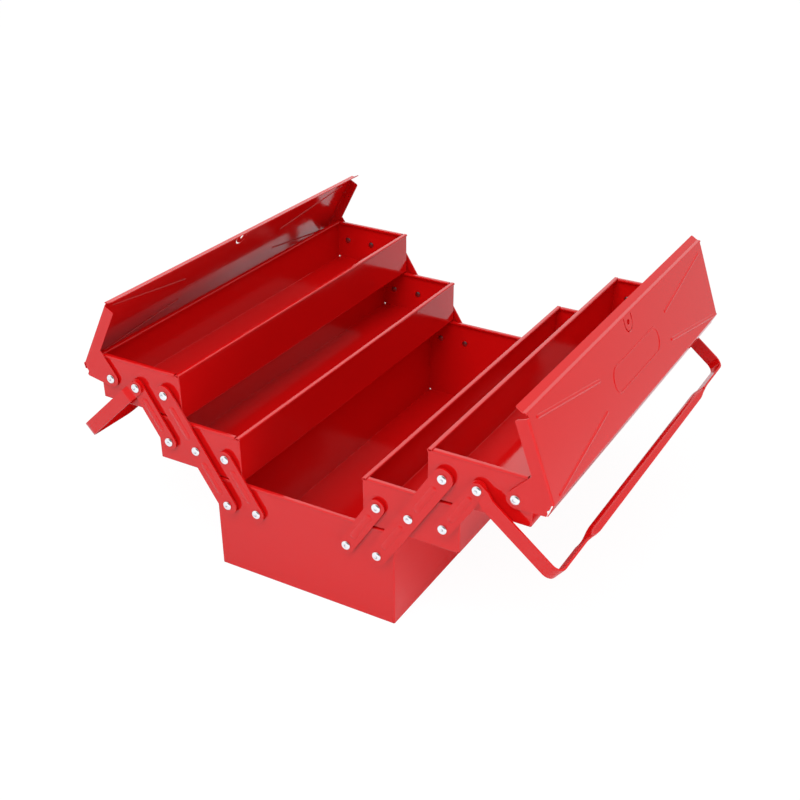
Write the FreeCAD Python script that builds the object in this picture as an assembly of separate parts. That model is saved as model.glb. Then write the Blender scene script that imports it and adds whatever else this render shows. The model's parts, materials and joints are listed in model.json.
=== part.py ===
import FreeCAD, Part
import math
import os

from FreeCAD import Vector

# Five-compartment cantilever tool box of folded steel sheet, standing open.
# X runs along the box, Y across it and Z up. The origin is the middle of the base tray's
# underside. "Out" is the distance from the middle plane towards either long side: every piece
# is drawn for the rear side (+Y) and the right end (+X), and mirrored to the others.

# Sheet and the trays
SHEET = 0.8
BOX_LENGTH = 426.0
BOX_WIDTH = 198.0
BASE_DEPTH = 102.0
MIDDLE_DEPTH = 48.2
UPPER_DEPTH = 47.4
STAGE_GAP = 1.4
CENTRE_GAP = 1.5
FOLD_RADIUS = 1.4
RIM_WIDTH = 5.0
RIM_HEIGHT = 3.0
RIM_RADIUS = 1.3
RIM_PROUD = 0.4
RIM_END_GAP = 0.8
CORNER_RELIEF_RADIUS = 0.8

# Cantilever linkage
STAGE_REACH = 65.3
LINK_PITCH = 60.5
RIVET_SPACING = 33.2
BASE_PIVOT_HEIGHT = 75.4
LONG_LINK_SETBACK = 15.5
LONG_LINK_WIDTH = 20.0
SHORT_LINK_WIDTH = 16.4
LINK_SHEET = 1.8
SHORT_LINK_STANDOFF = 1.8
LONG_LINK_STANDOFF = 2.8
BEAD_WIDTH = 7.0
BEAD_HEIGHT = 1.0
BEAD_END_SPACE = 12.0

# Rivets and their spacer washers
SHANK_RADIUS = 2.5
HEAD_RADIUS = 4.6
HEAD_HEIGHT = 2.2
TAIL_RADIUS = 3.5
TAIL_HEIGHT = 2.0
HEAD_MARK_RADIUS = 1.3
HEAD_MARK_DEPTH = 0.35
WASHER_RADIUS = 6.0
PIVOT_CLEARANCE = 0.08
FACE_GAP = 0.15

# Lids, measured with the lid shut from its hinge rivet
LID_STANDOFF = 1.6
LID_HEIGHT = 33.5
LID_FOLD_RADIUS = 1.6
PLATE_HINGE_SIDE = 7.8
PLATE_WIDTH = 82.6
FREE_STRIP_OUT = 7.1
FREE_STRIP_DROP = 7.7
FREE_STEP_OUT = 1.4
FREE_STEP_DROP = 3.2
FREE_CREST_BEND = 0.4
FREE_STEP_BEND = 0.3
FREE_CORNER_RADIUS = 1.6
HINGE_STRIP_OUT = 8.8
HINGE_STRIP_DROP = 8.2
FLANGE_DEPTH = 12.2
FLANGE_END_SPACE = 4.8
FLANGE_CORNER_RADIUS = 1.8
CORNER_NOTCH = 3.4
EAR_RADIUS = 8.5
EAR_INNER_SPACE = 20.0
EAR_TIP_DROP = 1.6
HINGE_SLOT_LENGTH = 4.2
HINGE_SLOT_WIDTH = 4.8
HINGE_SLOT_OUT = 3.2
HINGE_SLOT_DROP = 5.8
FRONT_LID_ANGLE = 69.9
REAR_LID_ANGLE = 62.0

# Pressed ribs, badge border and padlock tongue on each lid. The ribs and the badge sit nearer
# the hinge than the plate's middle by the pattern shift.
RIB_WIDTH = 4.0
RIB_HEIGHT = 1.1
RIB_OUTER_SPACE = 10.5
RIB_INNER_PLACE = 83.0
RIB_OUTER_OFFSET = 35.2
RIB_INNER_OFFSET = 14.5
PATTERN_SHIFT = 3.2
BADGE_LENGTH = 98.0
BADGE_END_BULGE = 9.0
BADGE_HEIGHT = 26.0
BADGE_CORNER = 3.0
BADGE_LINE = 1.8
BADGE_RELIEF = 0.6
BADGE_SHOULDER = 0.5
TONGUE_RADIUS = 9.4
TONGUE_SLIT = 1.6
TONGUE_HOLE_RADIUS = 2.8
TONGUE_SETBACK = 7.8

# Bail handles
HANDLE_SHEET = 2.0
HANDLE_WIDTH = 14.0
HANDLE_REACH = 95.2
HANDLE_JOGGLE = 3.2
JOGGLE_START = 8.0
JOGGLE_LENGTH = 7.0
JOGGLE_BEND = 2.0
HANDLE_CORNER_BEND = 9.0
GRIP_LENGTH = 280.0
GRIP_TAPER = 26.0
GRIP_WIDTH = 10.0
GRIP_DEPTH = 9.0
GRIP_INSET = 3.2
GRIP_SHEET = 1.6
TAPER_STEPS = 4
FRONT_HANDLE_ANGLE = 38.6
REAR_HANDLE_ANGLE = 43.4

# Part of the grip strip's width that becomes the channel's round web
WEB_SHARE = 0.7

# One overrun serves every cut that has to pass a face
OVERRUN = 2.0 * SHEET

# Places that follow from the sizes above
HALF_LENGTH = BOX_LENGTH / 2
HALF_WIDTH = BOX_WIDTH / 2
LEAN = STAGE_REACH / 2
RISE = math.sqrt(LINK_PITCH ** 2 - LEAN ** 2)
MIDDLE_FLOOR = BASE_DEPTH + STAGE_GAP
UPPER_FLOOR = MIDDLE_FLOOR + MIDDLE_DEPTH + STAGE_GAP
LONG_OUT = HALF_WIDTH - LONG_LINK_SETBACK
MIDDLE_PIVOT_HEIGHT = BASE_PIVOT_HEIGHT + RISE
UPPER_PIVOT_HEIGHT = MIDDLE_PIVOT_HEIGHT + RISE
LID_OUTER = HALF_LENGTH + LID_STANDOFF + SHEET
SHORT_LINK_FACE = SHORT_LINK_STANDOFF + LINK_SHEET
LONG_LINK_FACE = LONG_LINK_STANDOFF + LINK_SHEET
HANDLE_FACE = SHORT_LINK_FACE + FACE_GAP
PLATE_FREE_SIDE = PLATE_HINGE_SIDE - PLATE_WIDTH

BASE_LONG = (LONG_OUT, BASE_PIVOT_HEIGHT)
BASE_SHORT = (LONG_OUT - RIVET_SPACING, BASE_PIVOT_HEIGHT)
MIDDLE_LONG = (LONG_OUT + LEAN, MIDDLE_PIVOT_HEIGHT)
MIDDLE_LOWER = (LONG_OUT + LEAN - RIVET_SPACING, MIDDLE_PIVOT_HEIGHT)
MIDDLE_UPPER = (LONG_OUT + LEAN + RIVET_SPACING, MIDDLE_PIVOT_HEIGHT)
UPPER_LONG = (LONG_OUT + STAGE_REACH, UPPER_PIVOT_HEIGHT)
UPPER_HANDLE = (LONG_OUT + STAGE_REACH + RIVET_SPACING, UPPER_PIVOT_HEIGHT)
UPPER_LID = (LONG_OUT + STAGE_REACH + 2 * RIVET_SPACING, UPPER_PIVOT_HEIGHT)

ORIGIN = Vector(0, 0, 0)
ALONG_X = Vector(1, 0, 0)
ALONG_Y = Vector(0, 1, 0)
ALONG_Z = Vector(0, 0, 1)


def block(low, high):
    """Box between two opposite corners."""
    size = high - low
    return Part.makeBox(size.x, size.y, size.z, low)


def mirrored_ends(shape):
    """The piece at the right end together with its mirror image at the left end."""
    return [shape, shape.mirror(ORIGIN, ALONG_X)]


def fused(shapes):
    """One clean solid out of several that touch or overlap."""
    return shapes[0].fuse(shapes[1:]).removeSplitter()


def unit(start, end):
    """Direction from start to end, one long."""
    return (end - start).normalize()


def parallel_corners(points, distance):
    """Corners of the path that runs the given distance to the left of the points."""
    ways = [unit(start, end) for start, end in zip(points, points[1:])]
    normals = [Vector(-way.y, way.x, 0) for way in ways]
    arriving = normals[:1] + normals
    leaving = normals + normals[-1:]
    corners = []
    for here, before, after in zip(points, arriving, leaving):
        corners.append(here + (before + after) * (distance / (1 + before.dot(after))))
    return corners


def rounded_edges(points, radii):
    """Straight edges between the points, joined by tangent arcs of the given radii."""
    edges = []
    start = points[0]
    for before, corner, after, radius in zip(points, points[1:], points[2:], radii):
        arrive = unit(before, corner)
        leave = unit(corner, after)
        half_turn = arrive.getAngle(leave) / 2
        setback = radius * math.tan(half_turn)
        sagitta = radius / math.cos(half_turn) - radius
        arc_start = corner - arrive * setback
        arc_end = corner + leave * setback
        arc_middle = corner + (leave - arrive).normalize() * sagitta
        edges.append(Part.LineSegment(start, arc_start).toShape())
        edges.append(Part.Arc(arc_start, arc_middle, arc_end).toShape())
        start = arc_end
    edges.append(Part.LineSegment(start, points[-1]).toShape())
    return edges


def bent_sheet(points, sheet, bends):
    """Cross-section of sheet folded along the points, lying to their left, in the XY plane."""
    near_radii = []
    far_radii = []
    for before, corner, after, bend in zip(points, points[1:], points[2:], bends):
        turns_left = unit(before, corner).cross(unit(corner, after)).z > 0
        near_radii.append(bend + sheet if turns_left else bend)
        far_radii.append(bend if turns_left else bend + sheet)
    far_points = parallel_corners(points, sheet)
    edges = rounded_edges(points, near_radii)
    edges += rounded_edges(far_points, far_radii)
    edges.append(Part.LineSegment(points[0], far_points[0]).toShape())
    edges.append(Part.LineSegment(points[-1], far_points[-1]).toShape())
    return Part.Face(Part.Wire(Part.sortEdges(edges)[0]))


def stand_across(shape):
    """Turn a drawing in the XY plane so that its X points out, its Y up and its Z along the box."""
    turned = shape.copy()
    turned.rotate(ORIGIN, Vector(1, 1, 1), 120)
    return turned


def rod(out, height, radius, start, end):
    """Round bar along X between two places on X."""
    return Part.makeCylinder(radius, end - start, Vector(start, out, height), ALONG_X)


def pill(length, width, thickness):
    """Flat bar with round ends, lying along X with its underside on Z = 0."""
    end_place = Vector((length - width) / 2, 0, 0)
    across = Vector(0, width / 2, 0)
    middle = block(-end_place - across, end_place + across + ALONG_Z * thickness)
    right_end = Part.makeCylinder(width / 2, thickness, end_place)
    return fused([middle] + mirrored_ends(right_end))


def capsule(half_span, radius, height):
    """Round bar along X with ball ends, its middle line at the given height."""
    end = half_span + radius
    edges = [
        Part.LineSegment(Vector(-half_span, radius, 0), Vector(half_span, radius, 0)).toShape(),
        Part.LineSegment(Vector(end, 0, 0), Vector(-end, 0, 0)).toShape(),
    ]
    for way in (-1, 1):
        centre = Vector(way * half_span, 0, 0)
        slant = Vector(way * radius, radius, 0) * math.sqrt(1 / 2)
        crown = centre + ALONG_Y * radius
        tip = Vector(way * end, 0, 0)
        edges.append(Part.Arc(crown, centre + slant, tip).toShape())
    face = Part.Face(Part.Wire(Part.sortEdges(edges)[0]))
    return face.revolve(ORIGIN, ALONG_X, 360).translated(ALONG_Z * height)


def pressed_ridge(length, width, height, sheet):
    """Soft ridge along X, pressed up from a sheet whose top is Z = 0, and the groove beneath it."""
    radius = (width ** 2 / 4 + height ** 2) / (2 * height)
    half_span = (length - width) / 2
    middle = height - radius
    keep = block(Vector(-length, -width, -sheet / 2), Vector(length, width, height + sheet))
    ridge = capsule(half_span, radius, middle).common(keep)
    return ridge, capsule(half_span, radius - sheet, middle)


def rounded_bar(low, high, radius):
    """Bar with its four long edges rounded."""
    bar = block(low, high)
    return bar.makeFillet(radius, [edge for edge in bar.Edges if edge.Length > RIM_WIDTH])


def rolled_rim(low, high, way):
    """Rim rolled flat between two opposite corners: its outer bar and the hollow along it."""
    inset = Vector(SHEET, SHEET, SHEET) - way * (SHEET + RIM_END_GAP / 2)
    hollow = rounded_bar(low + inset, high - inset, RIM_RADIUS - SHEET)
    return rounded_bar(low, high, RIM_RADIUS), hollow


def tray(inner, outer, floor, depth, pivots):
    """Open tray folded from one sheet, with rolled rims and rivet holes in both end walls."""
    rim = floor + depth
    crown = rim - RIM_HEIGHT / 2
    outside = block(Vector(-HALF_LENGTH, inner, floor), Vector(HALF_LENGTH, outer, crown))
    folds = [edge for edge in outside.Edges if edge.BoundBox.ZMin < rim - depth / 2]
    outside = outside.makeFillet(FOLD_RADIUS, folds)
    inside = block(
        Vector(SHEET - HALF_LENGTH, inner + SHEET, floor + SHEET),
        Vector(HALF_LENGTH - SHEET, outer - SHEET, rim),
    )
    folds = [edge for edge in inside.Edges if edge.BoundBox.ZMin < rim - depth / 2]
    inside = inside.makeFillet(FOLD_RADIUS - SHEET, folds)

    bars = []
    hollows = []
    rim_floor = rim - RIM_HEIGHT
    for side in (inner - RIM_PROUD, outer + RIM_PROUD - RIM_WIDTH):
        low = Vector(-HALF_LENGTH, side, rim_floor)
        bar, hollow = rolled_rim(low, Vector(HALF_LENGTH, side + RIM_WIDTH, rim), ALONG_X)
        bars.append(bar)
        hollows.append(hollow)
    corner_space = RIM_WIDTH - RIM_PROUD + RIM_END_GAP
    low = Vector(HALF_LENGTH + RIM_PROUD - RIM_WIDTH, inner + corner_space, rim_floor)
    high = Vector(HALF_LENGTH + RIM_PROUD, outer - corner_space, rim)
    bar, hollow = rolled_rim(low, high, ALONG_Y)
    bars += mirrored_ends(bar)
    hollows += mirrored_ends(hollow)
    body = fused([outside.cut(inside)] + bars)

    cuts = hollows
    for out, height in pivots:
        cuts.append(rod(out, height, SHANK_RADIUS + PIVOT_CLEARANCE, -BOX_LENGTH, BOX_LENGTH))
    for out in (inner + FOLD_RADIUS, outer - FOLD_RADIUS):
        relief_height = floor + FOLD_RADIUS
        relief_start = HALF_LENGTH - FOLD_RADIUS
        relief = rod(out, relief_height, CORNER_RELIEF_RADIUS, relief_start, BOX_LENGTH)
        cuts += mirrored_ends(relief)
    return body.cut(cuts)


def link(foot, rivets, width, standoff):
    """Flat link leaning out from its foot rivet, with a pressed bead between each pair of rivets."""
    length = LINK_PITCH * (rivets - 1)
    strap = pill(length + width, width, LINK_SHEET).translated(Vector(length / 2, 0, 0))
    ridges = []
    grooves = []
    bead_length = LINK_PITCH - 2 * BEAD_END_SPACE
    ridge, groove = pressed_ridge(bead_length, BEAD_WIDTH, BEAD_HEIGHT, LINK_SHEET)
    for place in range(rivets - 1):
        middle = Vector(LINK_PITCH * (2 * place + 1) / 2, 0, LINK_SHEET)
        ridges.append(ridge.translated(middle))
        grooves.append(groove.translated(middle))
    holes = []
    for place in range(rivets):
        hole = Part.makeCylinder(SHANK_RADIUS + PIVOT_CLEARANCE, LINK_SHEET + BEAD_HEIGHT)
        holes.append(hole.translated(Vector(LINK_PITCH * place, 0, 0)))
    strap = fused([strap] + ridges).cut(grooves + holes)
    strap = stand_across(strap)
    strap.rotate(ORIGIN, ALONG_X, math.degrees(math.atan2(RISE, LEAN)))
    return strap.translated(Vector(HALF_LENGTH + standoff, foot[0], foot[1]))


def rivet(pivot, grip_face):
    """Domed rivet through the end wall and what lies on it, up to grip_face outside the wall."""
    out, height = pivot
    tail_face = HALF_LENGTH - SHEET
    head_face = HALF_LENGTH + grip_face + FACE_GAP
    shank = rod(out, height, SHANK_RADIUS, tail_face, head_face)
    head = dome(HEAD_RADIUS, HEAD_HEIGHT).translated(Vector(out, height, head_face))
    mark_floor = Vector(out, height, head_face + HEAD_HEIGHT - HEAD_MARK_DEPTH)
    mark = Part.makeCylinder(HEAD_MARK_RADIUS, HEAD_HEIGHT, mark_floor)
    head = stand_across(head.cut(mark))
    tail = dome(TAIL_RADIUS, TAIL_HEIGHT)
    tail.rotate(ORIGIN, ALONG_X, 180)
    tail = stand_across(tail.translated(Vector(out, height, tail_face)))
    return fused([shank, head, tail])


def dome(radius, height):
    """Shallow spherical cap standing on Z = 0."""
    sphere_radius = (radius ** 2 + height ** 2) / (2 * height)
    ball = Part.makeSphere(sphere_radius).translated(Vector(0, 0, height - sphere_radius))
    keep = block(Vector(-radius, -radius, 0), Vector(radius, radius, height))
    return ball.common(keep)


def washer(pivot, standoff):
    """Spacer between the end wall and the link, ear or handle that turns on the rivet."""
    out, height = pivot
    ring = rod(out, height, WASHER_RADIUS, HALF_LENGTH, HALF_LENGTH + standoff - FACE_GAP)
    return ring.cut(rod(out, height, SHANK_RADIUS + PIVOT_CLEARANCE, 0, BOX_LENGTH))


def lid_pan():
    """Plate with its two sloping strips and end flanges, shut, with the hinge rivet at Y = Z = 0."""
    fold = Vector(PLATE_FREE_SIDE, LID_HEIGHT, 0)
    edge = Vector(PLATE_FREE_SIDE - FREE_STRIP_OUT, LID_HEIGHT - FREE_STRIP_DROP, 0)
    section = [
        Vector(PLATE_HINGE_SIDE + HINGE_STRIP_OUT, LID_HEIGHT - HINGE_STRIP_DROP, 0),
        Vector(PLATE_HINGE_SIDE, LID_HEIGHT, 0),
        fold,
        Vector(PLATE_FREE_SIDE - FREE_STEP_OUT, LID_HEIGHT - FREE_STEP_DROP, 0),
        edge,
    ]
    bends = [LID_FOLD_RADIUS, FREE_CREST_BEND, FREE_STEP_BEND]
    profile = stand_across(bent_sheet(section, SHEET, bends))
    corner = FOLD_RADIUS + SHEET
    middle_length = 2 * (LID_OUTER - corner)
    middle = profile.extrude(Vector(middle_length, 0, 0)).translated(Vector(-middle_length / 2, 0, 0))
    full = profile.extrude(Vector(2 * LID_OUTER, 0, 0)).translated(Vector(-LID_OUTER, 0, 0))
    full = full.makeFillet(FREE_CORNER_RADIUS, thickness_edges(full, edge.x, edge.y))
    free_wing = full.common(block(
        Vector(-BOX_LENGTH, PLATE_FREE_SIDE - 2 * FREE_STRIP_OUT, 0),
        Vector(BOX_LENGTH, PLATE_FREE_SIDE + FLANGE_END_SPACE - CORNER_NOTCH, 2 * LID_HEIGHT),
    ))
    strip_end = PLATE_HINGE_SIDE + HINGE_STRIP_OUT
    hinge_wing = full.common(block(
        Vector(-BOX_LENGTH, PLATE_HINGE_SIDE - SHEET, 0),
        Vector(BOX_LENGTH, strip_end, 2 * LID_HEIGHT),
    ))
    flange_foot = LID_HEIGHT - FLANGE_DEPTH
    ends = [
        Vector(LID_OUTER, flange_foot, 0),
        Vector(LID_OUTER, LID_HEIGHT, 0),
        Vector(-LID_OUTER, LID_HEIGHT, 0),
        Vector(-LID_OUTER, flange_foot, 0),
    ]
    pan = bent_sheet(ends, SHEET, [FOLD_RADIUS] * 2)
    pan.rotate(ORIGIN, ALONG_X, 90)
    pan_start = PLATE_FREE_SIDE + FLANGE_END_SPACE
    pan_width = PLATE_HINGE_SIDE - SHEET - pan_start
    pan = pan.extrude(Vector(0, pan_width, 0)).translated(Vector(0, pan_start, 0))
    pan = pan.makeFillet(FLANGE_CORNER_RADIUS, thickness_edges(pan, pan_start, flange_foot))
    return [middle, free_wing, hinge_wing, pan] + mirrored_ends(lid_ear())


def thickness_edges(sheet, out, height):
    """Edges across the thickness of a sheet, near one place out and up."""
    edges = []
    for edge in sheet.Edges:
        middle = edge.BoundBox.Center
        near = math.hypot(middle.y - out, middle.z - height) < SHEET
        if near and edge.Length < 2 * SHEET:
            edges.append(edge)
    return edges


def hinge_slot():
    """Relief slot at the right end, between the ear's tip and the strip beside the hinge."""
    radius = HINGE_SLOT_WIDTH / 2
    start = LID_OUTER - HINGE_SLOT_LENGTH
    out = PLATE_HINGE_SIDE + HINGE_SLOT_OUT + radius
    height = LID_HEIGHT - HINGE_SLOT_DROP
    straight = block(
        Vector(start, out, height - radius),
        Vector(BOX_LENGTH, out + HINGE_STRIP_OUT, height + radius),
    )
    return fused([rod(out, height, radius, start, BOX_LENGTH), straight])


def lid_ear():
    """Hinge ear at the right end: the flange carried down to a round end about the rivet."""
    flange_foot = LID_HEIGHT - FLANGE_DEPTH
    tip_out = PLATE_HINGE_SIDE + HINGE_STRIP_OUT
    inner_corner = Vector(-EAR_INNER_SPACE, flange_foot, 0)
    tip = Vector(tip_out, LID_HEIGHT - HINGE_STRIP_DROP - EAR_TIP_DROP, 0)
    fold_end = Vector(PLATE_HINGE_SIDE - SHEET, LID_HEIGHT - FOLD_RADIUS - SHEET, 0)
    inner_tangent = tangent_point(inner_corner, EAR_RADIUS, 1)
    outer_tangent = tangent_point(tip, EAR_RADIUS, -1)
    lowest = (inner_tangent + outer_tangent).normalize() * EAR_RADIUS
    edges = [
        Part.LineSegment(inner_corner, inner_tangent).toShape(),
        Part.Arc(inner_tangent, lowest, outer_tangent).toShape(),
        Part.LineSegment(outer_tangent, tip).toShape(),
        Part.LineSegment(tip, fold_end).toShape(),
    ]
    back_corner = Vector(inner_corner.x, fold_end.y, 0)
    edges.append(Part.LineSegment(fold_end, back_corner).toShape())
    edges.append(Part.LineSegment(back_corner, inner_corner).toShape())
    face = stand_across(Part.Face(Part.Wire(edges)))
    return face.extrude(Vector(SHEET, 0, 0)).translated(Vector(LID_OUTER - SHEET, 0, 0))


def tangent_point(point, radius, side):
    """Where a line from the point touches a circle about the origin, on its left (1) or right (-1)."""
    distance = point.Length
    swing = side * math.acos(radius / distance)
    angle = math.atan2(point.y, point.x) + swing
    return Vector(radius * math.cos(angle), radius * math.sin(angle), 0)


def badge_border():
    """Raised oblong line that frames the bare badge field, on Z = 0 about the origin."""
    corner = Vector(BADGE_LENGTH / 2, BADGE_HEIGHT / 2, 0)
    bulge = Vector(BADGE_LENGTH / 2 + BADGE_END_BULGE, 0, 0)
    under = Vector(corner.x, -corner.y, 0)
    edges = [
        Part.LineSegment(-under, corner).toShape(),
        Part.Arc(corner, bulge, under).toShape(),
        Part.LineSegment(under, -corner).toShape(),
        Part.Arc(-corner, -bulge, -under).toShape(),
    ]
    plate = Part.Face(Part.Wire(edges)).extrude(ALONG_Z * BADGE_RELIEF)
    corners = [edge for edge in plate.Edges if edge.BoundBox.ZLength > BADGE_RELIEF / 2]
    plate = plate.makeFillet(BADGE_CORNER, corners)
    underside = [face for face in plate.Faces if face.BoundBox.ZMax < BADGE_RELIEF / 2][0]
    outline = underside.OuterWire
    inner = Part.Face(outline.makeOffset2D(-BADGE_LINE))
    border = Part.Face(outline).cut(inner).extrude(ALONG_Z * BADGE_RELIEF)
    top = [edge for edge in border.Edges if edge.BoundBox.ZMin > BADGE_RELIEF / 2]
    return border.makeFillet(BADGE_SHOULDER, top)


def tongue_slit():
    """U-shaped slit round the padlock hole, open towards the free edge, standing on Z = 0."""
    outer = Part.makeCylinder(TONGUE_RADIUS, 2 * SHEET)
    inner = Part.makeCylinder(TONGUE_RADIUS - TONGUE_SLIT, 2 * SHEET)
    leg_length = TONGUE_SETBACK - LID_FOLD_RADIUS
    far_side = block(Vector(-TONGUE_RADIUS, -TONGUE_RADIUS, 0), Vector(TONGUE_RADIUS, 0, 2 * SHEET))
    slit = outer.cut([inner, far_side])
    legs = []
    for side in (-1, 1):
        outer_edge = side * TONGUE_RADIUS
        inner_edge = side * (TONGUE_RADIUS - TONGUE_SLIT)
        low, high = sorted((outer_edge, inner_edge))
        legs.append(block(Vector(low, -leg_length, 0), Vector(high, 0, 2 * SHEET)))
    return fused([slit] + legs)


def lid(opening):
    """Finished lid, swung open by the given angle about its hinge rivets."""
    pattern_middle = PLATE_HINGE_SIDE - PLATE_WIDTH / 2 + PATTERN_SHIFT
    rib_outer = HALF_LENGTH - RIB_OUTER_SPACE
    rib_run = rib_outer - RIB_INNER_PLACE
    rib_rise = RIB_OUTER_OFFSET - RIB_INNER_OFFSET
    rib_length = math.hypot(rib_run, rib_rise)
    rib_slope = math.degrees(math.atan2(rib_rise, rib_run))
    rib_middle = Vector((rib_outer + RIB_INNER_PLACE) / 2, (RIB_OUTER_OFFSET + RIB_INNER_OFFSET) / 2, 0)
    ridges = []
    grooves = []
    for across in (-1, 1):
        for end in (-1, 1):
            place = Vector(end * rib_middle.x, pattern_middle + across * rib_middle.y, LID_HEIGHT)
            spin = end * across * rib_slope
            ridge, groove = pressed_ridge(rib_length, RIB_WIDTH, RIB_HEIGHT, SHEET)
            ridge.rotate(ORIGIN, ALONG_Z, spin)
            groove.rotate(ORIGIN, ALONG_Z, spin)
            ridges.append(ridge.translated(place))
            grooves.append(groove.translated(place))
    border = badge_border().translated(Vector(0, pattern_middle, LID_HEIGHT))
    body = fused(lid_pan() + ridges + [border])
    tongue_place = Vector(0, PLATE_FREE_SIDE + TONGUE_SETBACK, LID_HEIGHT - 2 * SHEET)
    slit = tongue_slit().translated(tongue_place + ALONG_Z * SHEET / 2)
    hole = Part.makeCylinder(TONGUE_HOLE_RADIUS, 2 * OVERRUN, tongue_place)
    pivot_hole = rod(0, 0, SHANK_RADIUS + PIVOT_CLEARANCE, -BOX_LENGTH, BOX_LENGTH)
    body = body.cut(grooves + [slit, hole, pivot_hole] + mirrored_ends(hinge_slot()))
    body.rotate(ORIGIN, ALONG_X, -opening)
    return body.translated(Vector(0, UPPER_LID[0], UPPER_LID[1]))


def grip_section(place, amount):
    """Closed wire across the grip at X = place: flat strip at amount 0, full channel at amount 1."""
    half_strip = HANDLE_WIDTH / 2
    web_half = half_strip * WEB_SHARE
    centre = HANDLE_REACH - GRIP_INSET + GRIP_WIDTH / 2
    leg_end = HANDLE_REACH - GRIP_INSET + GRIP_DEPTH
    rows = []
    for surface in (0, 1):
        flat_out = HANDLE_REACH + surface * HANDLE_SHEET
        radius = GRIP_WIDTH / 2 - surface * GRIP_SHEET
        heights = (-half_strip, -web_half, 0, web_half, half_strip)
        flat = [Vector(place, flat_out, height) for height in heights]
        curled = [
            Vector(place, leg_end, -radius),
            Vector(place, centre, -radius),
            Vector(place, centre - radius, 0),
            Vector(place, centre, radius),
            Vector(place, leg_end, radius),
        ]
        rows.append([start * (1 - amount) + end * amount for start, end in zip(flat, curled)])
    near, far = rows
    edges = [Part.LineSegment(near[0], near[1]).toShape()]
    edges.append(web_edge(near[1:4], amount))
    edges.append(Part.LineSegment(near[3], near[4]).toShape())
    edges.append(Part.LineSegment(near[4], far[4]).toShape())
    edges.append(Part.LineSegment(far[4], far[3]).toShape())
    edges.append(web_edge(far[3:0:-1], amount))
    edges.append(Part.LineSegment(far[1], far[0]).toShape())
    edges.append(Part.LineSegment(far[0], near[0]).toShape())
    return Part.Wire(edges)


def web_edge(points, amount):
    """Arc through three points, or the straight line where the strip is still flat."""
    if amount == 0:
        return Part.LineSegment(points[0], points[2]).toShape()
    return Part.Arc(points[0], points[1], points[2]).toShape()


def handle(drop):
    """Bail of flat strip with a channel-shaped grip, hanging drop degrees below level."""
    head_x = HALF_LENGTH + HANDLE_FACE
    arm_x = head_x + HANDLE_JOGGLE
    half_width = HANDLE_WIDTH / 2
    half_path = [
        Vector(head_x, -half_width, 0),
        Vector(head_x, JOGGLE_START, 0),
        Vector(arm_x, JOGGLE_START + JOGGLE_LENGTH, 0),
        Vector(arm_x, HANDLE_REACH, 0),
    ]
    bends = [JOGGLE_BEND, JOGGLE_BEND, HANDLE_CORNER_BEND]
    path = [Vector(-point.x, point.y, 0) for point in half_path] + half_path[::-1]
    bail = bent_sheet(path, HANDLE_SHEET, bends + bends[::-1])
    bail = bail.extrude(Vector(0, 0, HANDLE_WIDTH)).translated(Vector(0, 0, -half_width))

    half_grip = GRIP_LENGTH / 2
    grip_end = half_grip + GRIP_TAPER
    gap_low = Vector(-grip_end, HANDLE_REACH - OVERRUN, -HANDLE_WIDTH)
    gap_high = Vector(grip_end, HANDLE_REACH + 2 * OVERRUN, HANDLE_WIDTH)
    bail = bail.cut(block(gap_low, gap_high))
    stations = []
    for step in range(TAPER_STEPS + 1):
        share = step / TAPER_STEPS
        stations.append((grip_end - GRIP_TAPER * share, share * share * (3 - 2 * share)))
    stations += [(-place, amount) for place, amount in reversed(stations)]
    grip = Part.makeLoft([grip_section(place, amount) for place, amount in stations], True, True)

    turned_end = rod(0, 0, half_width, -BOX_LENGTH, BOX_LENGTH)
    square_low = Vector(-BOX_LENGTH, -HANDLE_WIDTH, -HANDLE_WIDTH)
    square_end = block(square_low, Vector(BOX_LENGTH, 0, HANDLE_WIDTH))
    pivot_hole = rod(0, 0, SHANK_RADIUS + PIVOT_CLEARANCE, -BOX_LENGTH, BOX_LENGTH)
    body = fused([bail.cut([square_end.cut(turned_end), pivot_hole]), grip])
    body.rotate(ORIGIN, ALONG_X, -drop)
    return body.translated(Vector(0, UPPER_HANDLE[0], UPPER_HANDLE[1]))


def on_side(shape, side):
    """The piece as drawn for the rear, or its mirror image for the front."""
    if side == "rear":
        return shape
    return shape.mirror(ORIGIN, ALONG_Y)


def write(name, shapes):
    """Save the solids of one node."""
    solids = [solid for shape in shapes for solid in shape.Solids]
    for solid in solids:
        if not solid.isValid():
            print("not valid:", name)
    shape = solids[0] if len(solids) == 1 else Part.makeCompound(solids)
    shape.exportStep("parts/" + name + ".step")
    print(name, len(solids), "solids", round(sum(solid.Volume for solid in solids)), "mm3")


def rivets_and_washers(name, side, places):
    """One node of rivets and one of washers, at both ends, for (pivot, standoff, grip face) rows."""
    rivets = []
    washers = []
    for pivot, standoff, grip_face in places:
        rivets += mirrored_ends(rivet(pivot, grip_face))
        washers += mirrored_ends(washer(pivot, standoff))
    write(name + "_rivets", [on_side(piece, side) for piece in rivets])
    write(name + "_washers", [on_side(piece, side) for piece in washers])


def base():
    """Fixed bottom tray with the rivets of both linkages."""
    pivots = [BASE_LONG, BASE_SHORT]
    both = pivots + [(-out, height) for out, height in pivots]
    write("base_tray", [tray(-HALF_WIDTH, HALF_WIDTH, 0, BASE_DEPTH, both)])
    rivets = []
    washers = []
    for side in ("front", "rear"):
        for pivot, standoff, face in (
            (BASE_LONG, LONG_LINK_STANDOFF, LONG_LINK_FACE),
            (BASE_SHORT, SHORT_LINK_STANDOFF, SHORT_LINK_FACE),
        ):
            rivets += [on_side(piece, side) for piece in mirrored_ends(rivet(pivot, face))]
            washers += [on_side(piece, side) for piece in mirrored_ends(washer(pivot, standoff))]
    write("base_rivets", rivets)
    write("base_washers", washers)


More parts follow.
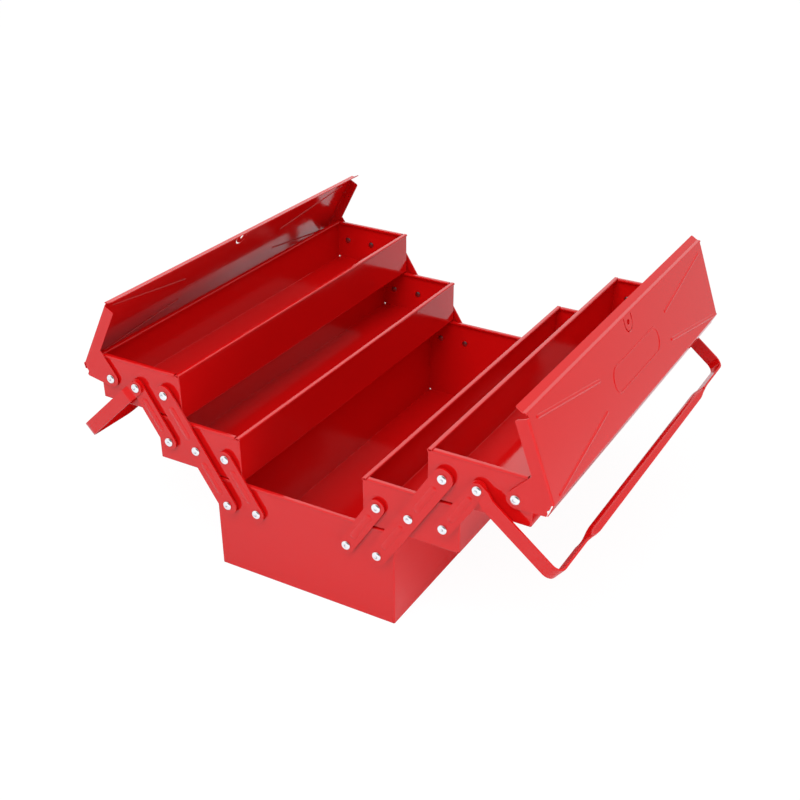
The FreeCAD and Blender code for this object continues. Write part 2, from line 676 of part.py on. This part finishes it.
def cantilever(side, lid_opening, handle_drop):
    """Everything that swings on one long side of the box."""
    inner = STAGE_REACH + CENTRE_GAP
    outer = STAGE_REACH + HALF_WIDTH
    pivots = [MIDDLE_LONG, MIDDLE_LOWER, MIDDLE_UPPER]
    middle = tray(inner, outer, MIDDLE_FLOOR, MIDDLE_DEPTH, pivots)
    write(side + "_middle_tray", [on_side(middle, side)])
    rivets_and_washers(side + "_middle_tray", side, (
        (MIDDLE_LONG, LONG_LINK_STANDOFF, LONG_LINK_FACE),
        (MIDDLE_LOWER, SHORT_LINK_STANDOFF, SHORT_LINK_FACE),
        (MIDDLE_UPPER, SHORT_LINK_STANDOFF, SHORT_LINK_FACE),
    ))
    pivots = [UPPER_LONG, UPPER_HANDLE, UPPER_LID]
    upper = tray(inner + STAGE_REACH, outer + STAGE_REACH, UPPER_FLOOR, UPPER_DEPTH, pivots)
    write(side + "_upper_tray", [on_side(upper, side)])
    rivets_and_washers(side + "_upper_tray", side, (
        (UPPER_LONG, LONG_LINK_STANDOFF, LONG_LINK_FACE),
        (UPPER_HANDLE, SHORT_LINK_STANDOFF, HANDLE_FACE + HANDLE_SHEET),
        (UPPER_LID, LID_STANDOFF, LID_STANDOFF + SHEET),
    ))
    for name, foot, rivets, width, standoff in (
        ("long_link", BASE_LONG, 3, LONG_LINK_WIDTH, LONG_LINK_STANDOFF),
        ("lower_link", BASE_SHORT, 2, SHORT_LINK_WIDTH, SHORT_LINK_STANDOFF),
        ("upper_link", MIDDLE_UPPER, 2, SHORT_LINK_WIDTH, SHORT_LINK_STANDOFF),
    ):
        for end, piece in zip(("right", "left"), mirrored_ends(link(foot, rivets, width, standoff))):
            write("_".join((side, end, name)), [on_side(piece, side)])
    write(side + "_lid", [on_side(lid(lid_opening), side)])
    write(side + "_handle", [on_side(handle(handle_drop), side)])


os.makedirs("parts", exist_ok=True)
base()
cantilever("front", FRONT_LID_ANGLE, FRONT_HANDLE_ANGLE)
cantilever("rear", REAR_LID_ANGLE, REAR_HANDLE_ANGLE)
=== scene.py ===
# %% [markdown]
# # A cantilever tool box in red enamel
# The box is folded from thin sheet steel, riveted together and painted. Its shapes come from the
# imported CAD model, so this file gives it what CAD leaves out: the enamel's gloss and faint orange
# peel, bright rivets with a tool mark in each head, the light of a white studio and the camera.
# Work in Blender like this goes from the outside in: first the frame, then the camera and the
# light, because a glossy paint is mostly a picture of what stands around it.

# %% Load the frame
import json

import bmesh
import bpy
import numpy as np
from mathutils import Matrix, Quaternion, Vector


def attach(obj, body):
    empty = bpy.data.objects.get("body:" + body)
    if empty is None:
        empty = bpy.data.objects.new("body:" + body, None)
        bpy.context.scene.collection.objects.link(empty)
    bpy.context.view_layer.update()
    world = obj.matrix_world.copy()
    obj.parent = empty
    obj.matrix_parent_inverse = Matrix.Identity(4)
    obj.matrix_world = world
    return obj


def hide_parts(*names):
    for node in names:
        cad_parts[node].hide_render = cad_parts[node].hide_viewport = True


MM = 0.001

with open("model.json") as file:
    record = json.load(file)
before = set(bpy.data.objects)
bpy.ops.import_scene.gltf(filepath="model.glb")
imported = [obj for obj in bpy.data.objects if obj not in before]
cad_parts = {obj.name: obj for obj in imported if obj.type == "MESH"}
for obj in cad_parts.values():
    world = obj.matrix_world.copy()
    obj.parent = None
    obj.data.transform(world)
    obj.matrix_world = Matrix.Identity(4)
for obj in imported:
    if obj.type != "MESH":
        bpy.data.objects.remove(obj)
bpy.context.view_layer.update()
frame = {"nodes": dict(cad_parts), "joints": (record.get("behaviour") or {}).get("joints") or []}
nodes = frame["nodes"]
joints = {joint["name"]: joint for joint in frame["joints"]}

# %% [markdown]
# ## Camera
# The photograph was taken from above the box's left front corner. A camera can be aimed by eye,
# but a box full of straight edges lets its place be worked out: the tray corners and the rivets
# were matched to the photograph, and that gave the direction, distance and lens used here. The
# small shift moves the picture without turning the camera, as a view camera's rise does.

# %% Place the camera
AZIMUTH = np.radians(-60.745)
ELEVATION = np.radians(30.275)
ROLL = np.radians(0.251)
DISTANCE = 1.25952
TARGET = Vector((-0.017743, -0.013478, 0.075663))
LENS = 53.914
SENSOR = 36.0
SHIFT = (-0.02227, 0.04918)

camera = bpy.data.objects.new("camera", bpy.data.cameras.new("camera"))
bpy.context.scene.collection.objects.link(camera)
bpy.context.scene.camera = camera
camera.data.lens = LENS
camera.data.sensor_width = SENSOR
camera.data.shift_x, camera.data.shift_y = SHIFT
towards_camera = Vector((
    np.sin(AZIMUTH) * np.cos(ELEVATION),
    -np.cos(AZIMUTH) * np.cos(ELEVATION),
    np.sin(ELEVATION),
))
camera.location = TARGET + towards_camera * DISTANCE
camera.rotation_mode = "QUATERNION"
camera.rotation_quaternion = (-towards_camera).to_track_quat("-Z", "Y") @ Quaternion((0, 0, 1), ROLL)
bpy.context.scene.view_settings.view_transform = "Standard"
print("camera stands at", [round(value, 3) for value in camera.location], "metres")

# %% [markdown]
# ## Helpers for shader nodes
# A material in Blender is a small graph. Writing a graph in full takes many lines, so one helper
# adds a node and feeds its inputs, each from another node's output or with a plain value. A few
# more name what the graphs below do again and again: a sum, a mix of two values, a tone that
# changes between two limits, and how far one direction faces another. They serve materials, the
# world and node groups alike, because all of them hold the same kind of tree.

# %% Helpers: trees and nodes
def empty_tree(owner):
    """The node tree of a material or a world, with nothing in it."""
    owner.use_nodes = True
    owner.node_tree.nodes.clear()
    return owner.node_tree


def add(tree, kind, inputs=None, **settings):
    """A new node of that kind, whose inputs get another node's output or a plain value."""
    node = tree.nodes.new(kind)
    for name, value in settings.items():
        setattr(node, name, value)
    for name, source in (inputs or {}).items():
        if isinstance(source, bpy.types.NodeSocket):
            tree.links.new(source, node.inputs[name])
        else:
            node.inputs[name].default_value = source
    return node


print("helpers: empty_tree, add")

# %% Helpers: sums, mixes and tones
def maths(tree, operation, *terms):
    """Output of a maths node with those terms."""
    return add(tree, "ShaderNodeMath", dict(enumerate(terms)), operation=operation).outputs[0]


def blend(tree, kind, factor, first, second):
    """Output that turns from the first to the second with the factor; kind is FLOAT or RGBA."""
    inputs = {"Factor": factor, "A": first, "B": second}
    return add(tree, "ShaderNodeMix", inputs, data_type=kind).outputs["Result"]


def tones(tree, value, limits, ends, shape="LINEAR"):
    """Output that goes from end to end while the value goes from limit to limit."""
    inputs = {"Value": value, "From Min": limits[0], "From Max": limits[1]}
    inputs.update({"To Min": ends[0], "To Max": ends[1]})
    return add(tree, "ShaderNodeMapRange", inputs, interpolation_type=shape).outputs["Result"]


def facing(tree, way, direction):
    """Output that says how far a way points along a direction, as their dot product."""
    inputs = {0: way, 1: direction}
    return add(tree, "ShaderNodeVectorMath", inputs, operation="DOT_PRODUCT").outputs["Value"]


WHITE = (1, 1, 1, 1)
print("helpers: maths, blend, tones, facing")

# %% [markdown]
# ## The white studio
# Product pictures like this one are taken in a white cove. Gloss paint shows the cove as a pale
# veil wherever a face mirrors it, and stays deep red wherever it mirrors other red sheet, so the
# cove has to be there for the reflections. What lights the object must stay at a plain level,
# or the red would clip, so the world is two worlds in one. The first lights the object. Most of
# the light in a cove falls from its ceiling, so it is brighter overhead.

# %% What lights the object
HORIZON_LIGHT = 0.20
CEILING_LIGHT = 0.82
CEILING_LIMITS = (0.2, 0.9)

world = bpy.data.worlds.new("white cove")
bpy.context.scene.world = world
cove = empty_tree(world)
way = add(cove, "ShaderNodeTexCoord").outputs["Generated"]
height = add(cove, "ShaderNodeSeparateXYZ", {"Vector": way}).outputs["Z"]
level = tones(cove, height, CEILING_LIMITS, (HORIZON_LIGHT, CEILING_LIGHT), "SMOOTHSTEP")
light = add(cove, "ShaderNodeBackground", {"Color": WHITE, "Strength": level})
print("the world's light rises from", HORIZON_LIGHT, "to", CEILING_LIGHT)

# %% [markdown]
# The second world is the one that reflections show. A real cove is open where the photographer
# stands. Gloss paint shows that dark opening as a fine dark line along each fold that faces the
# camera. The white fades towards the side away from the lamps, and a soft box behind the object
# leaves a pale line on the rims and ribs that face upwards.

# %% What reflections see
OPENING_TONE = 0.10
OPENING_LIMITS = (0.55, 0.90)
FAR_SIDE = Vector((0.76, -0.65, 0.0))
FAR_SIDE_TONE = 0.58
FAR_SIDE_LIMITS = (0.4, 1.0)
BACK_LIGHT = Vector((0.75, 0.35, 0.56))
BACK_TONE = 1.5
BACK_LIMITS = (0.80, 0.93)

to_camera = facing(cove, way, towards_camera)
opening = tones(cove, to_camera, OPENING_LIMITS, (1.0, OPENING_TONE), "SMOOTHSTEP")
fading = tones(cove, facing(cove, way, FAR_SIDE), FAR_SIDE_LIMITS, (1.0, FAR_SIDE_TONE))
back = tones(cove, facing(cove, way, BACK_LIGHT), BACK_LIMITS, (1.0, BACK_TONE), "SMOOTHSTEP")
mirrored_tone = maths(cove, "MULTIPLY", maths(cove, "MULTIPLY", opening, fading), back)
print("reflections show white from", OPENING_TONE, "to", BACK_TONE)

# %% [markdown]
# Light Path tells the rays apart. Rays from the camera meet plain white, which is the picture's
# background, rays from reflections meet the toned white, and rays that carry light meet the
# first, dimmer world.

# %% Tell the rays apart
path = add(cove, "ShaderNodeLightPath").outputs
strength = blend(cove, "FLOAT", path["Is Glossy Ray"], 1.0, mirrored_tone)
picture = add(cove, "ShaderNodeBackground", {"Color": WHITE, "Strength": strength})
seen = maths(cove, "MAXIMUM", path["Is Camera Ray"], path["Is Glossy Ray"])
shown = maths(cove, "MAXIMUM", seen, path["Is Transmission Ray"])
both = add(cove, "ShaderNodeMixShader", {"Fac": shown, 1: light.outputs[0], 2: picture.outputs[0]})
add(cove, "ShaderNodeOutputWorld", {"Surface": both.outputs[0]})
print("world:", world.name, "with", len(cove.nodes), "shader nodes")

# %% [markdown]
# ## Lamps
# A cove alone lights every side the same and the folds would vanish. One wide lamp above the
# camera's left shoulder gives the tops and the near end a little more. A weaker one stands low
# on the right. It reaches the long walls under the trays, and the open lid keeps it away from
# the insides. Both are large, so that their shadows have no hard edge.

# %% Hang two soft lamps
KEY_PLACE = (-1.6, -0.2, 1.8)
KEY_SIZE = (1.6, 1.6)
KEY_POWER = 29.5
FILL_PLACE = (-0.1, -2.0, 0.22)
FILL_TARGET = (0.0, 0.0, 0.16)
FILL_SIZE = (1.8, 0.35)
FILL_POWER = 13.0


def soft_lamp(name, place, target, size, power):
    """A rectangular area lamp at a place, aimed at a target, both in metres."""
    lamp = bpy.data.lights.new(name, "AREA")
    lamp.shape = "RECTANGLE"
    lamp.size, lamp.size_y = size
    lamp.energy = power
    lamp_object = bpy.data.objects.new(name, lamp)
    bpy.context.scene.collection.objects.link(lamp_object)
    lamp_object.location = place
    aim = Vector(target) - Vector(place)
    lamp_object.rotation_mode = "QUATERNION"
    lamp_object.rotation_quaternion = aim.to_track_quat("-Z", "Y")
    lamp_object.visible_camera = False
    lamp_object.visible_glossy = False
    return lamp_object


key = soft_lamp("key_lamp", KEY_PLACE, TARGET, KEY_SIZE, KEY_POWER)
fill = soft_lamp("fill_lamp", FILL_PLACE, FILL_TARGET, FILL_SIZE, FILL_POWER)
print("lamps:", key.name, fill.name)

# %% [markdown]
# ## Floor
# The box stands on white paper. The sheet itself is one large square. Its material has to make
# it white in the picture and still keep the shadow under the trays, so it comes in two parts.

# %% Lay the paper
FLOOR_HALF = 6.0

floor_mesh = bpy.data.meshes.new("floor")
corners = np.array([(-1, -1, 0), (1, -1, 0), (1, 1, 0), (-1, 1, 0)]) * FLOOR_HALF
floor_mesh.from_pydata(corners.tolist(), [], [(0, 1, 2, 3)])
floor = bpy.data.objects.new("floor", floor_mesh)
bpy.context.scene.collection.objects.link(floor)
print("floor is", 2 * FLOOR_HALF, "metres square")

# %% [markdown]
# The first part is plain diffuse paper, lit by the lamps, with the object's shadow on it. It
# throws light up at the box as white paper does. Reflections see it brighter than it would look
# and a little blue, as paper is in the shade. Close behind the box, where the rear trays cover
# it, reflections also see a painted shadow: a round pool of darker colour that the lamps do not cast.

# %% Lit paper
LIT_PAPER = (0.78, 0.78, 0.78, 1)
MIRRORED_PAPER = (0.92, 0.96, 1.0, 1)
# The next three values paint a shadow into the paper that reflections see: a darker colour in a round
# pool close behind the box.
PAINTED_SHADOW_PAPER = (0.19, 0.20, 0.22, 1)
PAINTED_SHADOW_CENTRE = (0.0, 0.22, 0.0)
PAINTED_SHADOW_LIMITS = (0.05, 0.24)

paper = bpy.data.materials.new("white paper")
sheet = empty_tree(paper)
floor_path = add(sheet, "ShaderNodeLightPath").outputs
spot = add(sheet, "ShaderNodeTexCoord").outputs["Object"]
# Painted shadow: the mask is 0 in the pool behind the box and 1 outside it, where the reflected paper
# keeps its plain colour.
from_painted_shadow = add(sheet, "ShaderNodeVectorMath", {0: spot, 1: PAINTED_SHADOW_CENTRE}, operation="DISTANCE")
clear = tones(sheet, from_painted_shadow.outputs["Value"], PAINTED_SHADOW_LIMITS, (0.0, 1.0))
mirrored_paper = blend(sheet, "RGBA", clear, PAINTED_SHADOW_PAPER, MIRRORED_PAPER)
paper_colour = blend(sheet, "RGBA", floor_path["Is Glossy Ray"], LIT_PAPER, mirrored_paper)
lit = add(sheet, "ShaderNodeBsdfDiffuse", {"Color": paper_colour})
print("reflections see the paper as", MIRRORED_PAPER[:3], "and close behind the box as", PAINTED_SHADOW_PAPER[:3])

# %% [markdown]
# The second part is an even glow. Rays from the camera get a large share of it, which lifts the
# paper to white and leaves part of the shadow. Reflections get it only far out on the side away
# from the lamps, where the floor takes on the same tone as the cove behind it.

# %% Glowing paper
FLOOR_GLOW = 0.9
GLOW_STRENGTH = 1.06
FAR_FLOOR_LIMITS = (0.45, 1.30)

far_floor = tones(sheet, facing(sheet, spot, FAR_SIDE), FAR_FLOOR_LIMITS, (0.0, 1.0))
mirrored_share = maths(sheet, "MULTIPLY", floor_path["Is Glossy Ray"], far_floor)
share = maths(sheet, "MULTIPLY_ADD", floor_path["Is Camera Ray"], FLOOR_GLOW, mirrored_share)
glow_tone = blend(sheet, "FLOAT", floor_path["Is Glossy Ray"], GLOW_STRENGTH, FAR_SIDE_TONE)
glow = add(sheet, "ShaderNodeEmission", {"Color": WHITE, "Strength": glow_tone})
top = add(sheet, "ShaderNodeMixShader", {"Fac": share, 1: lit.outputs[0], 2: glow.outputs[0]})
add(sheet, "ShaderNodeOutputMaterial", {"Surface": top.outputs[0]})
floor_mesh.materials.append(paper)
print("material:", paper.name)

# %% [markdown]
# ## Orange peel
# Enamel that is sprayed and baked never dries quite flat. It keeps a fine ripple, called orange
# peel, that breaks up the edge of every reflection. The ripple could be modelled, but it is only
# hundredths of a millimetre high, so a bump made from noise is enough. All the painted pieces
# share it, and each kind wants it a little stronger or weaker, so it is a node group.

# %% Helper: new shader group
def new_group(name, inputs, outputs):
    """An empty shader node group with its sockets, and its two end nodes."""
    group = bpy.data.node_groups.new(name, "ShaderNodeTree")
    for label, kind, value in inputs:
        socket = group.interface.new_socket(label, in_out="INPUT", socket_type=kind)
        if value is not None:
            socket.default_value = value
    for label, kind in outputs:
        group.interface.new_socket(label, in_out="OUTPUT", socket_type=kind)
    return group, group.nodes.new("NodeGroupInput").outputs, group.nodes.new("NodeGroupOutput").inputs


print("helper: new_group")

# %% Group: orange peel
FINE_SCALE = 900.0
BROAD_SHARE = 0.16

peel_group, given, result = new_group(
    "orange peel",
    [("Vector", "NodeSocketVector", None), ("Scale", "NodeSocketFloat", FINE_SCALE)],
    [("Height", "NodeSocketFloat")],
)
fine = add(peel_group, "ShaderNodeTexNoise", {
    "Vector": given["Vector"], "Scale": given["Scale"], "Detail": 1.0, "Roughness": 0.4,
})
broad_scale = maths(peel_group, "MULTIPLY", given["Scale"], BROAD_SHARE)
broad = add(peel_group, "ShaderNodeTexNoise", {
    "Vector": given["Vector"], "Scale": broad_scale, "Detail": 1.0,
})
ripples = maths(peel_group, "ADD", fine.outputs["Fac"], broad.outputs["Fac"])
peel_group.links.new(ripples, result["Height"])
print("group:", peel_group.name)

# %% [markdown]
# ## Handling marks
# A new box still has faint marks from packing and hands: broad patches where the gloss is a
# touch duller. They are too weak to see as marks, but they stop a wide flat lid from mirroring
# like glass. One group gives the patches as a mask, and each paint decides what they do.

# %% Group: handling marks
PATCH_SCALE = 18.0
PATCH_LIMITS = (0.42, 0.68)

marks_group, given, result = new_group(
    "handling marks",
    [("Vector", "NodeSocketVector", None), ("Scale", "NodeSocketFloat", PATCH_SCALE)],
    [("Mask", "NodeSocketFloat")],
)
cloud = add(marks_group, "ShaderNodeTexNoise", {
    "Vector": given["Vector"], "Scale": given["Scale"],
    "Detail": 4.0, "Roughness": 0.6, "Distortion": 0.4,
})
patches = tones(marks_group, cloud.outputs["Fac"], PATCH_LIMITS, (0.0, 1.0))
marks_group.links.new(patches, result["Mask"])
print("group:", marks_group.name)

# %% [markdown]
# ## Red enamel
# The paint is one saturated red all over: its green and blue are close to nothing, which is why
# the deep shade inside the trays stays red and never turns brown. Everything paler in the
# photograph is the white cove in the gloss. A Principled BSDF with a plain specular layer does
# that. The folded trays, the pressed links and the bent handles were painted together, so they
# get the same red and differ only in how much ripple and how many marks they carry.

# %% Material: red enamel
ENAMEL_RED = (0.71, 0.0052, 0.0058, 1)
NARROW_SCALE = 1200.0
PEEL_STRENGTH = 0.35


def enamel(name, ripple, gloss, dulling, scale=FINE_SCALE):
    """Glossy red paint: ripple is the bump's height, gloss the roughness where it is clean."""
    material = bpy.data.materials.new(name)
    tree = empty_tree(material)
    place = add(tree, "ShaderNodeTexCoord").outputs["Object"]
    peel = add(tree, "ShaderNodeGroup", {"Vector": place, "Scale": scale}, node_tree=peel_group)
    marks = add(tree, "ShaderNodeGroup", {"Vector": place}, node_tree=marks_group)
    bump = add(tree, "ShaderNodeBump", {
        "Strength": PEEL_STRENGTH, "Distance": ripple * MM, "Height": peel.outputs["Height"],
    })
    paint = add(tree, "ShaderNodeBsdfPrincipled", {
        "Base Color": ENAMEL_RED,
        "IOR": 1.5,
        "Specular IOR Level": 0.5,
        "Roughness": tones(tree, marks.outputs["Mask"], (0.0, 1.0), (gloss, gloss + dulling)),
        "Normal": bump.outputs["Normal"],
    })
    add(tree, "ShaderNodeOutputMaterial", {"Surface": paint.outputs[0]})
    return material


tray_enamel = enamel("tray enamel", ripple=0.02, gloss=0.08, dulling=0.05)
lid_enamel = enamel("lid enamel", ripple=0.03, gloss=0.12, dulling=0.07)
link_enamel = enamel("link enamel", ripple=0.03, gloss=0.16, dulling=0.05, scale=NARROW_SCALE)
handle_enamel = enamel("handle enamel", ripple=0.03, gloss=0.15, dulling=0.07, scale=NARROW_SCALE)
print("enamels:", tray_enamel.name, lid_enamel.name, link_enamel.name, handle_enamel.name)

# %% Give each kind of piece its finish
def give(ending, material):
    """Every CAD node whose name ends so wears this material and no other."""
    names = [name for name in nodes if name.endswith(ending)]
    for name in names:
        nodes[name].data.materials.clear()
        nodes[name].data.materials.append(material)
    print(material.name, "on", len(names), "nodes")


give("_tray", tray_enamel)
give("_lid", lid_enamel)
give("_link", link_enamel)
give("_handle", handle_enamel)

# %% [markdown]
# ## Zinc washers
# Behind every link sits a plain steel washer, and only its edge shows. It was stamped and then
# plated in a barrel, which leaves a dull grey with cloudy patches. Metal like that needs no
# detail in its shape: the clouds change its colour and its roughness a little, and that is all
# the eye finds in the narrow gap.

# %% Material: dull zinc
ZINC_CLOUDS = 420.0
PALE_ZINC = (0.62, 0.63, 0.64, 1)
DARK_ZINC = (0.48, 0.48, 0.48, 1)
ZINC_ROUGHNESS = (0.30, 0.48)

zinc = bpy.data.materials.new("dull zinc")
tree = empty_tree(zinc)
place = add(tree, "ShaderNodeTexCoord").outputs["Object"]
clouds = add(tree, "ShaderNodeGroup", {"Vector": place, "Scale": ZINC_CLOUDS}, node_tree=marks_group)
metal = add(tree, "ShaderNodeBsdfPrincipled", {
    "Metallic": 1.0,
    "Base Color": blend(tree, "RGBA", clouds.outputs["Mask"], PALE_ZINC, DARK_ZINC),
    "Roughness": tones(tree, clouds.outputs["Mask"], (0.0, 1.0), ZINC_ROUGHNESS),
})
add(tree, "ShaderNodeOutputMaterial", {"Surface": metal.outputs[0]})
give("_washers", zinc)

# %% [markdown]
# ## Nickel for the rivets
# The rivet heads were plated bright before the box was assembled, so they mirror the white cove
# and are the only pale spots on it. The tool that set them left a small bent mark near the middle,
# worn to a duller grey, and the tails inside were hammered bare of their plating. The pieces made
# below carry an attribute with that wear, so the dullness follows the mark exactly and needs no
# texture of its own.

# %% Material: bright nickel
BRIGHT_NICKEL = (0.93, 0.93, 0.94, 1)
WORN_NICKEL = (0.30, 0.30, 0.34, 1)
NICKEL_ROUGHNESS = (0.16, 0.42)
GRAIN_SCALE = 2600.0
GRAIN_HEIGHT = 0.02 * MM
GRAIN_STRENGTH = 0.25

nickel = bpy.data.materials.new("bright nickel")
tree = empty_tree(nickel)
place = add(tree, "ShaderNodeTexCoord").outputs["Object"]
wear = add(tree, "ShaderNodeAttribute", attribute_name="wear").outputs["Fac"]
grain = add(tree, "ShaderNodeTexNoise", {"Vector": place, "Scale": GRAIN_SCALE, "Detail": 2.0})
bump = add(tree, "ShaderNodeBump", {
    "Strength": GRAIN_STRENGTH, "Distance": GRAIN_HEIGHT, "Height": grain.outputs["Fac"],
})
metal = add(tree, "ShaderNodeBsdfPrincipled", {
    "Metallic": 1.0,
    "Base Color": blend(tree, "RGBA", wear, BRIGHT_NICKEL, WORN_NICKEL),
    "Roughness": tones(tree, wear, (0.0, 1.0), NICKEL_ROUGHNESS),
    "Normal": bump.outputs["Normal"],
})
add(tree, "ShaderNodeOutputMaterial", {"Surface": metal.outputs[0]})
print("material:", nickel.name)

# %% [markdown]
# ## A mesh from a grid of points
# The new pieces are surfaces worked out with numpy. A surface is a table of points: walking down
# the rows follows one direction over the shape, walking along the columns follows the other. The
# same helper turns any such table into a mesh, joining the last column to the first. Another
# closes the poles, where a row shrinks to a point, and turns all faces outwards.

# %% Helpers: surface from a grid
WELD = 0.001 * MM


def grid_mesh(name, points):
    """Quads between neighbours of a (pieces, rows, columns, 3) table whose columns close up."""
    pieces, rows, columns, _ = points.shape
    index = np.arange(pieces * rows * columns).reshape(pieces, rows, columns)
    beside = np.roll(index, -1, axis=2)
    quads = np.stack([index[:, :-1], beside[:, :-1], beside[:, 1:], index[:, 1:]], axis=-1)
    mesh = bpy.data.meshes.new(name)
    mesh.from_pydata(points.reshape(-1, 3).tolist(), [], quads.reshape(-1, 4).tolist())
    mesh.polygons.foreach_set("use_smooth", np.ones(len(mesh.polygons), dtype=bool))
    return mesh


def close_up(mesh):
    """Weld points that lie together and turn the faces outwards."""
    shape = bmesh.new()
    shape.from_mesh(mesh)
    bmesh.ops.remove_doubles(shape, verts=shape.verts, dist=WELD)
    bmesh.ops.recalc_face_normals(shape, faces=shape.faces)
    shape.to_mesh(mesh)
    shape.free()


print("helpers: grid_mesh, close_up")

# %% [markdown]
# ## Rivets
# A rivet is a short bar with a domed head outside the sheet and a second, smaller dome hammered
# up inside. In CAD both are plain slices of a ball. The real head is flatter on top and rounder
# at its rim, and the setting tool leaves a bent mark that is never quite central.
# Each rivet's place is read from the frame: its axis is a joint's axis, and its two tips are
# measured on the CAD mesh, so that the new pieces stay right when the box changes size. Only the
# axis where a lower short link meets its middle tray has no joint of its own. It lies as far from
# the tray's own pivot as the short link's foot lies from the long link's.

# %% Find the rivets
HEAD_RADIUS = 4.6 * MM
SEARCH_RADIUS = 1.2 * HEAD_RADIUS


def rivet_places(node_name, axes):
    """Side, tail tip, head tip, Y and Z of each rivet whose axis is named, measured on the CAD."""
    mesh = nodes[node_name].data
    spots = np.empty(len(mesh.vertices) * 3)
    mesh.vertices.foreach_get("co", spots)
    spots = spots.reshape(-1, 3)
    places = []
    for y, z in axes:
        near = np.hypot(spots[:, 1] - y, spots[:, 2] - z) < SEARCH_RADIUS
        reach = np.abs(spots[near, 0])
        places += [(side, reach.min(), reach.max(), y, z) for side in (-1, 1)]
    return np.array(places)


def axis_of(joint_name):
    """Y and Z of a joint's axis, which all run along X."""
    return np.array(joints[joint_name]["pos_m"][1:])


rivets_on = {"base_rivets": []}
for side in ("front", "rear"):
    fold = axis_of(side + "_fold")
    foot = axis_of(side + "_lower_link_foot")
    middle = axis_of(side + "_middle_tray_pivot")
    rivets_on["base_rivets"] += [fold, foot]
    rivets_on[side + "_middle_tray_rivets"] = [
        middle, middle + foot - fold, axis_of(side + "_upper_link_foot"),
    ]
    rivets_on[side + "_upper_tray_rivets"] = [
        axis_of(side + joint) for joint in ("_upper_tray_pivot", "_handle_hinge", "_lid_hinge")
    ]
places_on = {name: rivet_places(name, axes) for name, axes in rivets_on.items()}
print({name: len(places) for name, places in places_on.items()}, "rivets")

# %% [markdown]
# One profile walks from the head's centre over its rim, down the shank and over the tail, and is
# turned about the rivet's axis. The head's height follows a cosine raised to a small power, which
# keeps the top flat and drops steeply at the rim.

# %% Profile of a rivet
HEAD_HEIGHT = 2.2 * MM
HEAD_FLATNESS = 0.55
TAIL_RADIUS = 3.5 * MM
TAIL_HEIGHT = 2.0 * MM
SHANK_RADIUS = 2.5 * MM
PROFILE_STEPS = 16


def rivet_profile(places):
    """Radius of each row of a rivet, and each rivet's places of the rows along its axis.

    Over the head, radius = R sin(a) and rise = H cos(a) ** flatness, with a from 0 to a right
    angle. Over the tail, radius = R cos(a) and rise = H sin(a). The shank lies between them.
    """
    sweep = np.linspace(0, np.pi / 2, PROFILE_STEPS)
    shank = [SHANK_RADIUS, SHANK_RADIUS]
    radius = np.concatenate([HEAD_RADIUS * np.sin(sweep), shank, TAIL_RADIUS * np.cos(sweep)])
    head_face = places[:, 2:3] - HEAD_HEIGHT
    tail_face = places[:, 1:2] + TAIL_HEIGHT
    along = np.concatenate([
        head_face + HEAD_HEIGHT * np.cos(sweep) ** HEAD_FLATNESS,
        head_face,
        tail_face,
        tail_face - TAIL_HEIGHT * np.sin(sweep),
    ], axis=1)
    return radius, along


print("profile of", 2 * PROFILE_STEPS + 2, "rows")

# %% [markdown]
# The tool's mark is part of a ring, pressed into the head a little off its middle. Its place,
# its radius and the way it is turned are drawn anew for each rivet, from a generator with a
# fixed seed, so that no two heads look alike and every render is the same.

# %% Tool mark of a rivet
MARK_OFFSET = 0.6 * MM
MARK_RADIUS = (1.0 * MM, 1.4 * MM)
MARK_WIDTH = 0.5 * MM
MARK_DEPTH = 0.3 * MM


def tool_mark(seed, across, upward):
    """Depth of the mark at each point of each head, from 0 to 1.

    It is exp(-((d - radius) / width) ** 2) * (1 + cos(b - turn)) / 2, with d and b the distance
    and the angle from a point a little off the axis, and nothing beyond the head.
    """
    random = np.random.default_rng(seed)
    count = len(across)
    centre = random.uniform(-MARK_OFFSET, MARK_OFFSET, (2, count, 1, 1))
    radius = random.uniform(*MARK_RADIUS, (count, 1, 1))
    turn = random.uniform(0, 2 * np.pi, (count, 1, 1))
    distance = np.hypot(across - centre[0], upward - centre[1])
    angle = np.arctan2(upward - centre[1], across - centre[0])
    depth = np.exp(-((distance - radius) / MARK_WIDTH) ** 2) * (1 + np.cos(angle - turn)) / 2
    depth[:, PROFILE_STEPS:] = 0
    return depth


print("marks are", MARK_DEPTH / MM, "mm deep")

# %% Shape the rivets
AROUND = 48
TAIL_WEAR = 0.8


def rivets(node_name, seed):
    """All rivets of a CAD node as one piece, bright outside the sheet and worn inside."""
    places = places_on[node_name]
    radius, along = rivet_profile(places)
    turn = np.arange(AROUND) * 2 * np.pi / AROUND
    same = np.zeros(along.shape + (AROUND,))
    across = same + radius[:, None] * np.cos(turn)
    upward = same + radius[:, None] * np.sin(turn)
    wear = tool_mark(seed, across, upward)
    side, _, _, y, z = places.T[:, :, None, None]
    outward = side * (along[:, :, None] - MARK_DEPTH * wear)
    wear[:, PROFILE_STEPS + 1:] = TAIL_WEAR
    mesh = grid_mesh(node_name + "_formed", np.stack([outward, y + across, z + upward], axis=-1))
    mesh.attributes.new("wear", "FLOAT", "POINT").data.foreach_set("value", wear.ravel())
    mesh.materials.append(nickel)
    close_up(mesh)
    piece = bpy.data.objects.new(node_name + "_formed", mesh)
    bpy.context.scene.collection.objects.link(piece)
    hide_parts(node_name)
    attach(piece, node_name.removesuffix("_rivets"))
    return piece


for seed, name in enumerate(places_on):
    piece = rivets(name, seed)
    print(piece.name, len(piece.data.polygons), "faces")
